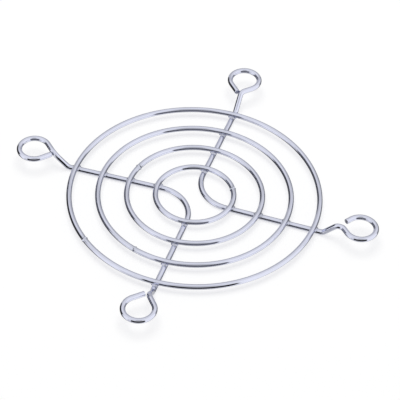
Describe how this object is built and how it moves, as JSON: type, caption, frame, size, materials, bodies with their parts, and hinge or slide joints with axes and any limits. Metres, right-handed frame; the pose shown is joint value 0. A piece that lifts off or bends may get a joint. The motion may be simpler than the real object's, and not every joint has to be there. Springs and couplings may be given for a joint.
{
  "type": "wire fan guard",
  "caption": "Wire guard for a square axial fan: concentric round wire rings welded onto two bent support wires whose cranked ends curl into screw eyes.",
  "frame": {"origin": "on the rings' common axis, at the underside of the two support wires, which is the guard's outer face", "axes": "+Z along the rings' axis, from the support wires towards the raised screw eyes and the fan; X and Y along the sides of the square of screw eyes, with the two support wires' bends facing -X and +X"},
  "size_m": [0.082, 0.082, 0.0058],
  "materials": {
    "plated_wire": "bright nickel-chrome plate over drawn steel wire, slightly rippled, grey in the weld roots and on the sheared ends"
  },
  "bodies": {
    "root": {"innermost_ring": "plated_wire", "second_ring": "plated_wire", "third_ring": "plated_wire", "outer_ring": "plated_wire", "left_support_wire": "plated_wire", "right_support_wire": "plated_wire"}
  },
  "joints": []
}
